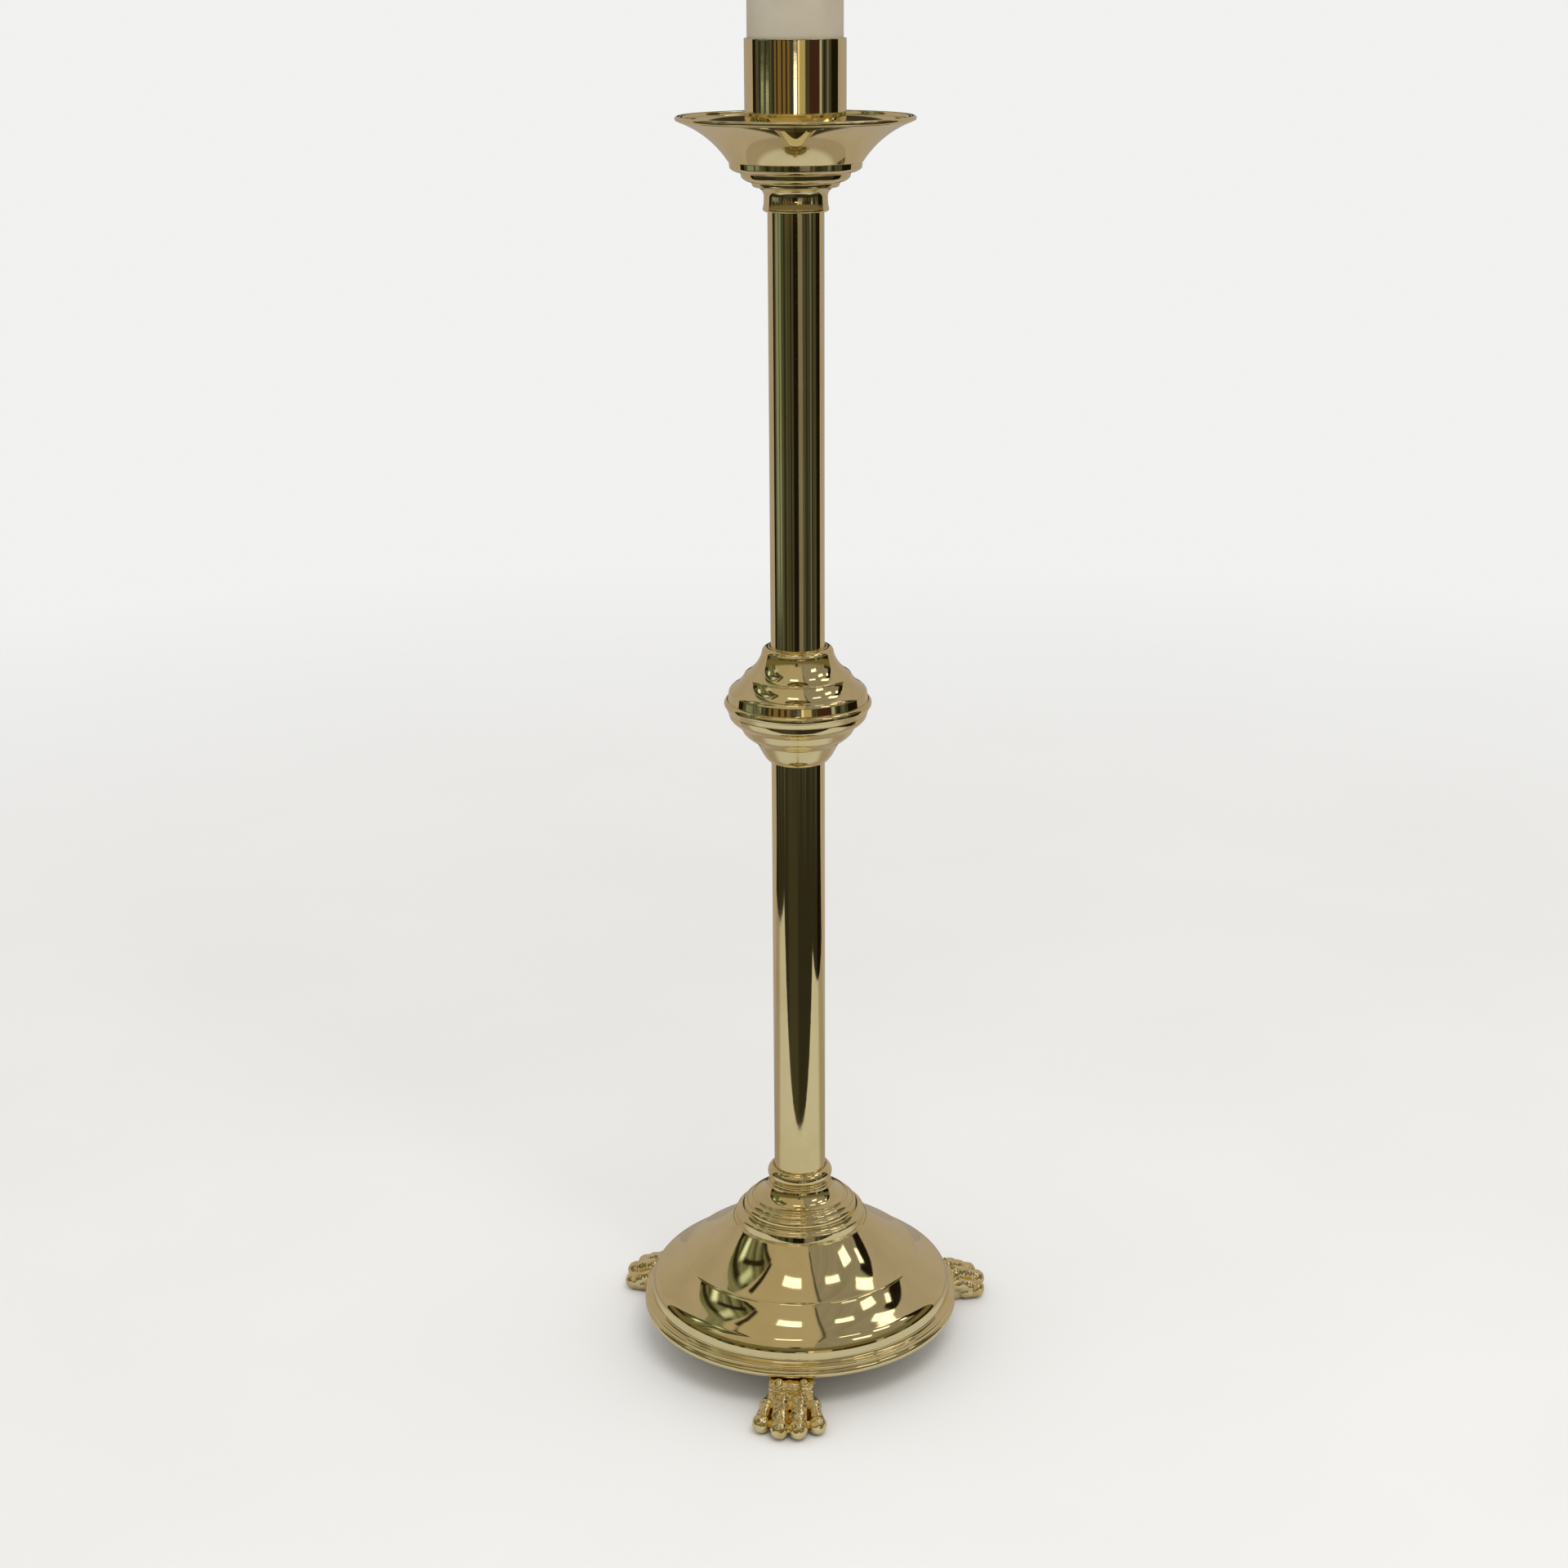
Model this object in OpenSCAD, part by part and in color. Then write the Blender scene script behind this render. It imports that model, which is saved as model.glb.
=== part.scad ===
// Altar candlestick: a pillar candle in a socket, a drip pan, two stem tubes with a knop between them,
// and a spun base on three cast paws. One tie rod draws the whole stack together.
// Millimetres, +Z up. The origin is on the standing plane, on the stem's axis.

/* [Candle and socket] */
// Diameter of the candle
candle_d = 63.5; // [50:0.1:64]
// Length of the candle
candle_len = 228.6; // [100:0.1:400]
// Outer diameter of the candle socket
socket_d = 67.4; // [67:0.1:72]
// Height of the socket above the drip pan's floor
socket_h = 77.3; // [50:0.1:110]
// Wall of the socket tube
socket_wall = 1.25; // [0.8:0.05:1.4]

/* [Stem] */
// Outer diameter of both stem tubes
tube_d = 38.1; // [37.9:0.1:38.3]
// Wall of both stem tubes
tube_wall = 1.2; // [0.8:0.1:2]
// Length of the lower tube that shows between the base collar and the knop
lower_show = 319.7; // [150:0.1:500]
// Length of the upper tube that shows between the knop and the pan's neck
upper_show = 300.1; // [150:0.1:500]
// Diameter of the tie rod
rod_d = 8; // [6:0.5:8]

/* [Base] */
// Radius of the circle through the tips of the paws
paw_reach = 160; // [157:0.5:164]
// Width of a paw across its toes
paw_w = 54; // [52:0.5:56]
// Gauge of the spun sheet
sheet = 1.2; // [0.8:0.1:1.4]

/* [Hidden] */
$fn = 96;

fit_gap = 0.05;             // radial gap of a tube or rod in its bore
tube_r = tube_d / 2;
rod_r = rod_d / 2;
rod_hole_r = rod_r + 0.4;

// heights of the stack, from the floor up
ring_z = 29;                // underside of the foot ring, where the paws bolt on
ring_t = 3;
cup_z = 108.2;              // flat top of the dome, seat of the cup
collar_z = cup_z + 20.3;    // top of the cup, seat of the lower tube and its collar
collar_h = 12.8;
knop_z = collar_z + collar_h + lower_show;
knop_h = 83.7;
neck_z = knop_z + knop_h + upper_show;
pan_z = neck_z + 32.2;      // underside of the drip pan's floor
socket_z = pan_z + sheet;
tube_seat = 11;             // depth of a tube's end in the knop
neck_seat = 8.2;            // depth of the upper tube's end in the neck
rest_z = socket_z + 15;     // underside of the disc that the candle stands on
rest_t = 1.5;
candle_z = rest_z + rest_t;

washer_t = 1.6;
nut_h = 6.5;
nut_r = 7.5;                // across the corners of a 13 mm hexagon
weight_z = 66;
rod_bottom = weight_z - washer_t - nut_h - 6;
rod_top = socket_z + 2 + washer_t + nut_h + 3;

paw_angles = [-90, 30, 150];
screw_r = 2.5;
screw_at = [101.5, 10];       // each screw's distance from the axis, and sideways from the paw's middle line

brass = [0.80, 0.68, 0.38];
cast_brass = [0.76, 0.62, 0.30];
steel = [0.62, 0.63, 0.65];
iron = [0.28, 0.28, 0.29];
wax = [0.97, 0.96, 0.92];
cotton = [0.88, 0.85, 0.76];

// An arc from p to q whose middle stands h proud of the chord, to the left of the way from p to q.
// It holds p and leaves q out. With h = 0 it is the straight line.
function bow(p, q, h) =
    h == 0 ? [p] :
    let (
        chord = norm(q - p),
        sweep = 4 * atan(2 * abs(h) / chord),
        radius = chord / (2 * sin(sweep / 2)),
        side = [p[1] - q[1], q[0] - p[0]] / chord,
        centre = (p + q) / 2 + side * (h - sign(h) * radius),
        steps = max(2, ceil(sweep / 7)),
        from = p - centre
    )
    [for (i = [0 : steps - 1])
        let (turn = -sign(h) * sweep * i / steps)
        centre + [from[0] * cos(turn) - from[1] * sin(turn), from[0] * sin(turn) + from[1] * cos(turn)]];

// Rows of [radius, height, bow], where the bow belongs to the stretch that leads to the next row.
function point(row) = [row[0], row[1]];
function outline(rows) = concat(
    [for (i = [0 : len(rows) - 2]) each bow(point(rows[i]), point(rows[i + 1]), rows[i][2])],
    [point(rows[len(rows) - 1])]
);

module turned(rows, z = 0) {
    translate([0, 0, z])
        rotate_extrude()
            polygon(outline(rows));
}

module pipe(r_out, r_in, h, z) {
    translate([0, 0, z])
        rotate_extrude()
            translate([r_in, 0])
                square([r_out - r_in, h]);
}

module hex_nut(z) {
    translate([0, 0, z])
        difference() {
            cylinder(r = nut_r, h = nut_h, $fn = 6);
            translate([0, 0, -1])
                cylinder(r = rod_r + fit_gap, h = nut_h + 2);
        }
}

// ---- candle and socket ----

module candle() {
    r = candle_d / 2;
    color(wax)
        turned([
            [0, 0, 0],
            [0, candle_len - 1.4, 0.4],
            [r * 0.35, candle_len - 0.6, 0],
            [r - 2.5, candle_len, 0.75],
            [r, candle_len - 2.5, 0],
            [r, 1, 0],
            [r - 1, 0, 0]
        ], candle_z);
}

module wick() {
    root = candle_z + candle_len - 1.4;
    color(cotton)
        translate([0, 0, root]) {
            cylinder(r = 1.3, h = 9.5, $fn = 24);
            translate([0, 0, 9.5])
                sphere(r = 1.3, $fn = 24);
        }
}

module candle_socket() {
    r = socket_d / 2;
    bore = r - socket_wall;
    color(brass)
        turned([
            [bore, 0, 0],
            [bore, socket_h - 0.6, 0.25],
            [bore + 0.5, socket_h, 0],
            [r - 0.5, socket_h, 0.2],
            [r, socket_h - 0.6, 0],
            [r, 0, 0],
            [bore, 0, 0]
        ], socket_z);
}

module candle_rest() {
    color(brass)
        pipe(socket_d / 2 - socket_wall - fit_gap, rod_hole_r, rest_t, rest_z);
}

module socket_floor() {
    color(brass)
        pipe(socket_d / 2 - socket_wall - fit_gap, rod_hole_r, 2, socket_z);
}

module socket_washer() {
    color(steel)
        pipe(11, rod_r + 0.3, washer_t, socket_z + 2);
}

module socket_nut() {
    color(steel)
        hex_nut(socket_z + 2 + washer_t);
}

// ---- drip pan ----

// A spun dish: a flat floor, a wall that flares like a trumpet, and a rolled edge.
module drip_pan() {
    floor_r = 44.9;
    lip = [77.6, 25.8];
    color(brass)
        turned([
            [rod_hole_r, sheet, 0],
            [floor_r - 1, sheet, 3.4],
            [lip[0] - 1.2, lip[1] + sheet, 0],
            [76.9, 28.5, 2.7],
            [77.8, 26.4, 0],
            [lip[0], lip[1], -3.4],
            [floor_r, 0, 0],
            [rod_hole_r, 0, 0],
            [rod_hole_r, sheet, 0]
        ], pan_z);
}

// A turned casting in three rounded tiers over a waisted neck. A web inside takes the upper tube's end.
module pan_neck() {
    top = pan_z - neck_z;
    web_t = 2.4;
    color(brass)
        turned([
            [41.5, top, 0],
            [44.5, top, 0],
            [44.1, 28.2, 0.6],
            [37.8, 25.5, 0],
            [36.9, 25.1, 0.1],
            [36.2, 22.0, 0.5],
            [30.2, 19.0, 0],
            [29.7, 18.7, 0.1],
            [29.1, 17.0, 0.4],
            [27.6, 15.9, -1.9],
            [21.4, 9.4, -0.25],
            [22.05, 2.2, 0.6],
            [21.0, 0, 0],
            [tube_r + fit_gap, 0, 0],
            [tube_r + fit_gap, neck_seat, 0],
            [rod_hole_r, neck_seat, 0],
            [rod_hole_r, neck_seat + web_t, 0],
            [18.6, neck_seat + web_t, 0],
            [25.0, 18.6, 0],
            [27.0, 21.6, 0],
            [34.0, 25.4, 0],
            [41.5, top, 0]
        ], neck_z);
}

// ---- stem ----

module stem_tube(z, length) {
    color(brass)
        pipe(tube_r, tube_r - tube_wall, length, z);
}

module stem_plug(z) {
    color(brass)
        pipe(tube_r - tube_wall - fit_gap, rod_hole_r, 8, z);
}

upper_z = knop_z + knop_h - tube_seat;
upper_len = upper_show + tube_seat + neck_seat;
lower_len = collar_h + lower_show + tube_seat;

module upper_tube() { stem_tube(upper_z, upper_len); }
module upper_tube_bottom_plug() { stem_plug(upper_z); }
module upper_tube_top_plug() { stem_plug(upper_z + upper_len - 8); }
module lower_tube() { stem_tube(collar_z, lower_len); }
module lower_tube_bottom_plug() { stem_plug(collar_z); }
module lower_tube_top_plug() { stem_plug(collar_z + lower_len - 8); }

// ---- knop ----

rim_top = 45.6;    // heights of the rim ring above the knop's foot
rim_foot = 36.9;

// Two hollow flares one above the other, from a round lip at the tube down to an upright edge.
module knop_upper_shell() {
    web = knop_h - tube_seat;
    color(brass)
        turned([
            [tube_r + fit_gap, knop_h - 0.3, 0],
            [tube_r + 0.9, knop_h, 1.7],
            [25.4, 79.6, -1.9],
            [36.8, 64.2, 0.35],
            [38.1, 62.8, -0.8],
            [46.2, 54.3, 0.4],
            [49.0, 51.4, 0],
            [49.8, rim_top, 0],
            [47.5, rim_top, 0],
            [46.8, 50.3, 0],
            [44.3, 52.4, 0],
            [34.0, 62.8, 0],
            [24.5, web - 2.4, 0],
            [rod_hole_r, web - 2.4, 0],
            [rod_hole_r, web, 0],
            [tube_r + fit_gap, web, 0],
            [tube_r + fit_gap, knop_h - 0.3, 0]
        ], knop_z);
}

module knop_rim_ring() {
    color(brass)
        turned([
            [47.6, rim_top, 0],
            [50.5, rim_top, 1.4],
            [51.4, 40.6, 0],
            [49.6, rim_foot, 0],
            [47.6, rim_foot, 0],
            [47.6, rim_top, 0]
        ], knop_z);
}

// Three rounded tiers that step in towards the lower tube.
module knop_lower_shell() {
    web = tube_seat;
    color(brass)
        turned([
            [47.5, rim_foot, 0],
            [49.6, rim_foot, 0.1],
            [48.5, 32.7, 0.4],
            [43.0, 27.8, 0],
            [41.5, 26.7, 0],
            [38.7, 21.4, 0.35],
            [31.0, 15.4, 0],
            [29.8, 14.3, 0],
            [24.9, 5.2, 0.25],
            [20.6, 0, 0],
            [tube_r + fit_gap, 0, 0],
            [tube_r + fit_gap, web, 0],
            [rod_hole_r, web, 0],
            [rod_hole_r, web + 2.4, 0],
            [25.6, web + 2.4, 0],
            [28.0, 15.6, 0],
            [36.6, 22.8, 0],
            [37.6, 25.6, 0],
            [45.6, 32.8, 0],
            [47.5, rim_foot, 0]
        ], knop_z);
}

// ---- base ----

// A ring round the foot of the lower tube: a full bead over a thin one.
module base_collar() {
    color(brass)
        turned([
            [tube_r + fit_gap, collar_h - 0.4, 0],
            [tube_r + 1.1, collar_h, 2.6],
            [22.6, 3.4, -0.3],
            [22.5, 2.7, 0.55],
            [22.3, 0, 0],
            [tube_r + fit_gap, 0, 0],
            [tube_r + fit_gap, collar_h - 0.4, 0]
        ], collar_z);
}

// A low stepped cup that carries the stem on the crown of the dome.
module base_cup() {
    top = collar_z - cup_z;
    color(brass)
        turned([
            [rod_hole_r, top, 0],
            [23.3, top, 0.2],
            [23.9, top - 0.8, -2.3],
            [33.9, 9.3, 0.3],
            [34.9, 8.3, -0.25],
            [36.0, 7.4, 0.55],
            [38.9, 5.2, -0.35],
            [40.0, 4.2, 0.6],
            [42.2, 1.6, 0],
            [42.3, 0, 0],
            [40.6, 0, 0],
            [39.6, 2.2, 0],
            [32.6, 7.4, 0],
            [22.0, 17.9, 0],
            [rod_hole_r, 17.9, 0],
            [rod_hole_r, top, 0]
        ], cup_z);
}

// The spun base: a stepped crown, two wide hollow sweeps with a soft arris between them, a rounded
// shoulder, a flat ledge, and a rolled edge.
module base_dome() {
    color(brass)
        turned([
            [rod_hole_r, cup_z, 0],
            [43.4, cup_z, 0.2],
            [44.1, 107.5, -0.35],
            [46.2, 105.2, 0.5],
            [48.3, 103.4, 0.05],
            [48.9, 99.1, -0.2],
            [50.4, 98.5, 0.15],
            [51.3, 97.9, -1.6],
            [85.4, 70.5, 0.35],
            [88.0, 68.5, -0.85],
            [107.2, 54.2, 1.2],
            [113.3, 45.2, 0],
            [113.6, 41.1, -0.8],
            [115.8, 38.2, 0.1],
            [117.6, 37.8, 0.75],
            [117.8, 35.4, 0],
            [116.7, 34.2, 0],
            [116.9, 33.4, 4.0],
            [113.1, 28.0, 0],
            [112.1, ring_z + 0.2, 0],
            [112.1, 44.7, -1.2],
            [106.4, 53.1, 0.85],
            [87.2, 67.3, -0.35],
            [84.6, 69.5, 1.6],
            [49.0, 96.4, 0],
            [46.6, 98.4, 0],
            [46.2, 102.4, 0],
            [43.0, cup_z - 1.6, 0],
            [rod_hole_r, cup_z - 1.6, 0],
            [rod_hole_r, cup_z, 0]
        ]);
}

module on_paws() {
    for (a = paw_angles)
        rotate(a)
            for (side = [-1, 1])
                translate([screw_at[0], side * screw_at[1], 0])
                    children();
}

// A flat ring soldered inside the rolled edge. It stiffens the rim and carries the paws.
module foot_ring() {
    color(brass)
        difference() {
            pipe(112.0, 92, ring_t, ring_z);
            on_paws()
                translate([0, 0, ring_z - 1])
                    cylinder(r = screw_r, h = ring_t + 2, $fn = 32);
        }
}

// The iron weight under the crown: it keeps the stick from toppling and spreads the nut's pull.
module base_weight() {
    color(iron)
        turned([
            [rod_hole_r, cup_z - 1.6, 0],
            [38, cup_z - 1.6, 0],
            [38, 88, 0],
            [56, 84, 0],
            [56, weight_z + 2, 0],
            [54, weight_z, 0],
            [rod_hole_r, weight_z, 0],
            [rod_hole_r, cup_z - 1.6, 0]
        ]);
}

module base_washer() {
    color(steel)
        pipe(14, rod_r + 0.3, washer_t, weight_z - washer_t);
}

module base_nut() {
    color(steel)
        hex_nut(weight_z - washer_t - nut_h);
}

module tie_rod() {
    color(steel)
        translate([0, 0, rod_bottom])
            cylinder(r = rod_r, h = rod_top - rod_bottom);
}

// ---- paws ----

toe_side = [-1.5, -0.5, 0.5, 1.5];
toe_r = 8;                  // the two inner toes
outer_toe_r = 7;
ankle_x = 125;              // the toes fan out from this distance off the stem's axis
toe_pitch = (paw_w - 2 * outer_toe_r - 4) / 3;
leg_w = 34;
sole_from = 112;
lug_z = 20;                 // underside of the lug that the screws go through

// One toe, pointing along +X: a knuckle, a round tip, and the bone between them, cut flat at the floor.
module toe(tip_x, r, knuckle_z) {
    tip = [tip_x - r, 0, r - 0.6];
    knuckle = [tip_x - 2.7 * r, 0, knuckle_z];
    span = tip - knuckle;
    translate(tip)
        sphere(r = r, $fn = 48);
    translate(knuckle)
        sphere(r = r * 0.98, $fn = 48);
    translate(knuckle)
        rotate([0, 90 + atan(-span[2] / span[0]), 0])
            cylinder(r = r * 0.86, h = norm(span), $fn = 48);
}

// Side view of the leg: a lug under the foot ring, the ankle that leaves it under the rolled edge,
// and the flat sole.
module leg() {
    rotate([90, 0, 0])
        translate([0, 0, -leg_w / 2])
            linear_extrude(leg_w)
                polygon(outline([
                    [96, lug_z, 0],
                    [96, ring_z, 0],
                    [112, ring_z, 0],
                    [112, 26.8, 0],
                    [121.5, 26.8, -1.2],
                    [128, 21.5, 0],
                    [141, 13, 0],
                    [141, 0, 0],
                    [sole_from, 0, 0],
                    [sole_from, 14, -1.5],
                    [107, lug_z, 0]
                ]));
}

module paw() {
    color(cast_brass)
        difference() {
            union() {
                leg();
                for (s = toe_side) {
                    inner = abs(s) < 1;
                    translate([ankle_x, s * toe_pitch, 0])
                        rotate(s * 4)
                            translate([-ankle_x, 0, 0])
                                if (inner)
                                    toe(paw_reach, toe_r, 16.5);
                                else
                                    toe(paw_reach - 9, outer_toe_r, 14);
                }
            }
            translate([80, -50, -20])
                cube([100, 100, 20]);
            for (side = [-1, 1])
                translate([screw_at[0], side * screw_at[1], 10])
                    cylinder(r = screw_r + 0.3, h = 25, $fn = 32);
        }
}

module paw_front() { rotate(paw_angles[0]) paw(); }
module paw_right() { rotate(paw_angles[1]) paw(); }
module paw_left() { rotate(paw_angles[2]) paw(); }

module paw_screws() {
    head_z = lug_z - 1;
    color(steel)
        on_paws() {
            translate([0, 0, head_z - 4])
                cylinder(r = 4.4, h = 4, $fn = 6);
            translate([0, 0, head_z])
                cylinder(r = screw_r - fit_gap, h = ring_z + ring_t - head_z, $fn = 32);
        }
}

module paw_washers() {
    color(steel)
        on_paws()
            translate([0, 0, lug_z - 1])
                difference() {
                    cylinder(r = 5, h = 1, $fn = 32);
                    translate([0, 0, -1])
                        cylinder(r = screw_r + 0.2, h = 3, $fn = 32);
                }
}

candle();
wick();
candle_socket();
candle_rest();
socket_floor();
socket_washer();
socket_nut();
drip_pan();
pan_neck();
upper_tube();
upper_tube_top_plug();
upper_tube_bottom_plug();
knop_upper_shell();
knop_rim_ring();
knop_lower_shell();
lower_tube();
lower_tube_top_plug();
lower_tube_bottom_plug();
base_collar();
base_cup();
base_dome();
foot_ring();
base_weight();
base_washer();
base_nut();
tie_rod();
paw_front();
paw_right();
paw_left();
paw_screws();
paw_washers();
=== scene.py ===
"""Altar candlestick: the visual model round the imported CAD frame.

The turned brass pieces are rebuilt as fine lathe meshes from the CAD nodes' own outlines, the cast
paws are sculpted inside their CAD boxes, and every surface gets a node material.
"""

import math

import bmesh
import bpy
import numpy as np
from mathutils import Euler, Matrix, Vector


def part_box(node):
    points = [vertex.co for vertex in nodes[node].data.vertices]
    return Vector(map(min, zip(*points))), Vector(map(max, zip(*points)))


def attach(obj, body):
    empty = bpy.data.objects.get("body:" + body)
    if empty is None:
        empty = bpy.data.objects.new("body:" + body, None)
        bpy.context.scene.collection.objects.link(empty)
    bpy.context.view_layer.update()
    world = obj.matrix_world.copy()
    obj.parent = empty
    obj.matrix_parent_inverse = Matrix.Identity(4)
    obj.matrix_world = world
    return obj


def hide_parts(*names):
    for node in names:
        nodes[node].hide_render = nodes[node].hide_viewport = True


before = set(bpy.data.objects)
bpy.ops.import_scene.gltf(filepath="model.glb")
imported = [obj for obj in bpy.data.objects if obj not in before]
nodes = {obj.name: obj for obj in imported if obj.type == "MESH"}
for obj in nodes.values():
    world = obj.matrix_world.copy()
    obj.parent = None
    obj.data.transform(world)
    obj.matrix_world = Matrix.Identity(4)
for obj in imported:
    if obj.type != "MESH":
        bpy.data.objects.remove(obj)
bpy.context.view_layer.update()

MM = 0.001
STICK, CANDLE = "stick", "candle"  # the two bodies


# ---- small helpers ---------------------------------------------------------------------------


def new_object(name, verts, faces, smooth=True):
    """A mesh object from lists of points and faces."""
    mesh = bpy.data.meshes.new(name)
    mesh.from_pydata([tuple(v) for v in verts], [], faces)
    mesh.validate()
    mesh.update()
    if smooth:
        mesh.shade_smooth()
    obj = bpy.data.objects.new(name, mesh)
    bpy.context.scene.collection.objects.link(obj)
    return obj


def finish_piece(obj, material, body, slot, *stands_for):
    """Gives a visible piece its material and its body, and hides the CAD nodes it stands for. The
    slot is not used.
    """
    obj.data.materials.clear()
    obj.data.materials.append(material)
    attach(obj, body)
    if stands_for:
        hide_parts(*stands_for)


# ---- outlines of the turned nodes ------------------------------------------------------------


SAME_POINT = 2.5e-5  # mesh points nearer than this, in metres, are one point of the outline
STRAIGHT = math.radians(0.4)  # a vertex that turns less than this only splits a straight line
ARC_TURN = math.radians(12)  # a vertex that turns less than this lies on an arc
FACET_TURN = math.radians(2)  # how finely the arcs are drawn
SMALLEST_FACET = 0.00024  # and no finer than this
LINE_RATIO = 2.5  # a stretch this much longer than its neighbour is a straight line
EDGE_STEP = 4  # degrees of turn in one facet of a rounded edge
EDGE_SHARE = 0.45  # how much of a short stretch a rounded edge may take
BRASS_EDGE = 0.0004  # how far a rounded edge reaches along its two sides
WAX_EDGE = 0.0008
SUPPORT = 0.7  # a straight wall gets a point this far from each end, as a share of that reach
SUPPORTED = 2.5  # if the wall is this much longer than that reach
TWIN = 2e-6  # points of the finished outline nearer than this are merged
ON_AXIS = 1e-6  # a point nearer to the axis than this is a pole
AROUND = 240  # facets round a turned piece


def node_outline(name):
    """The (radius, height) outline of a turned CAD node, read from its mesh, in metres, and whether
    it is a closed loop or a chain from the axis to the axis. It runs anticlockwise."""
    mesh = nodes[name].data
    places = [Vector((math.hypot(v.co.x, v.co.y), v.co.z)) for v in mesh.vertices]
    keys = [(round(p.x, 5), round(p.y, 5)) for p in places]
    same = {}
    for key in sorted(set(keys)):
        twin = [k for k in same.values() if math.dist(k, key) < SAME_POINT]
        same[key] = twin[0] if twin else key
    keys = [same[k] for k in keys]
    exact = {}
    for place, key in zip(places, keys):
        exact.setdefault(key, []).append(place)
    near = {}
    for e in mesh.edges:
        a, b = keys[e.vertices[0]], keys[e.vertices[1]]
        if a != b:
            near.setdefault(a, set()).add(b)
            near.setdefault(b, set()).add(a)
    ends = [k for k in near if len(near[k]) == 1]
    closed = not ends
    here = min(ends or near, key=lambda k: (k[1], k[0]))
    chain, before = [here], None
    while len(chain) <= len(near):
        ways = sorted(k for k in near[here] if k != before)
        if not ways or ways[-1] == chain[0]:
            break
        before, here = here, ways[-1]
        chain.append(here)
    n = len(chain)
    area = sum(
        chain[i - 1][0] * chain[i][1] - chain[i][0] * chain[i - 1][1] for i in range(n)
    )
    if area < 0:
        chain.reverse()
    points = [sum(exact[k], Vector((0, 0))) / len(exact[k]) for k in chain]

    def turns(i):
        if not closed and i in (0, n - 1):
            return True
        last, here, after = points[i - 1], points[i], points[(i + 1) % n]
        return (here - last).angle(after - here) > STRAIGHT

    return [p for i, p in enumerate(points) if turns(i)], closed


def outline_ways(points, closed):
    """For every vertex, the way the outline arrives, the way it leaves, and how far it turns. The
    two ways are the same where the vertex lies on an arc."""
    n = len(points)
    sides = [points[(i + 1) % n] - points[i] for i in range(n)]
    ways = []
    for i in range(n):
        before, after = sides[i - 1], sides[i]
        end = not closed and i in (0, n - 1)
        turn = 0.0 if end else before.angle(after)
        if end or turn >= ARC_TURN:
            way = None
        elif before.length > LINE_RATIO * after.length:
            way = before.normalized()
        elif after.length > LINE_RATIO * before.length:
            way = after.normalized()
        else:
            way = before.normalized() * after.length + after.normalized() * before.length
            way.normalize()
        ways.append([way, way, turn])
    # a stretch that leaves or meets a real edge is an even arc, or a straight line between two
    for i in range(n if closed else n - 1):
        here, there = ways[i], ways[(i + 1) % n]
        chord = sides[i].normalized()
        leaving, arriving = here[1], there[0]
        if leaving is None:
            here[1] = 2 * chord.dot(arriving) * chord - arriving if arriving else chord
        if arriving is None:
            there[0] = 2 * chord.dot(leaving) * chord - leaving if leaving else chord
    return ways


def eased(points, closed, corner):
    """The outline with its arcs drawn finely and its real edges rounded, no wider than corner."""
    n = len(points)
    ways = outline_ways(points, closed)
    widest = max(p.x for p in points)
    lowest, highest = min(p.y for p in points), max(p.y for p in points)

    def reach(i, length):
        return min(corner, EDGE_SHARE * length) if ways[i % n][2] >= ARC_TURN else 0.0

    stretches = []
    for i in range(n if closed else n - 1):
        j = (i + 1) % n
        start, end = points[i], points[j]
        length = (end - start).length
        leave, arrive = ways[i][1] * length, ways[j][0] * length
        cut, trim = reach(i, length) / length, reach(j, length) / length
        bend = ways[i][1].angle(ways[j][0])
        steps = max(1, min(math.ceil(bend / FACET_TURN), int(length / SMALLEST_FACET)))
        at = {cut, 1 - trim} | {k / steps for k in range(1, steps) if cut < k / steps < 1 - trim}
        if bend < STRAIGHT and length * (1 - cut - trim) > SUPPORTED * corner:
            # a point close to each end keeps the shading of a straight wall straight
            near_end = SUPPORT * corner / length
            at |= {cut + near_end, 1 - trim - near_end}
        run = [
            start * (2 * t**3 - 3 * t**2 + 1)
            + leave * (t**3 - 2 * t**2 + t)
            + end * (3 * t**2 - 2 * t**3)
            + arrive * (t**3 - t**2)
            for t in sorted(at)
        ]
        stretches.append((cut > 0, start, ways[i][2], run))
    line = []
    for k, (rounded, edge, turn, run) in enumerate(stretches):
        if rounded:
            a, b = stretches[k - 1][3][-1], run[0]
            steps = max(2, min(10, math.ceil(math.degrees(turn) / EDGE_STEP)))
            for step in range(1, steps):
                t = step / steps
                line.append(a.lerp(edge, t).lerp(edge.lerp(b, t), t))
        line.extend(run)
    for p in line:
        p.x = max(0.0, min(p.x, widest))
        p.y = max(lowest, min(p.y, highest))
    clean = [line[0]]
    for p in line[1:]:
        if (p - clean[-1]).length > TWIN:
            clean.append(p)
    if closed and (clean[0] - clean[-1]).length < TWIN:
        clean.pop()
    return clean


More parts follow.
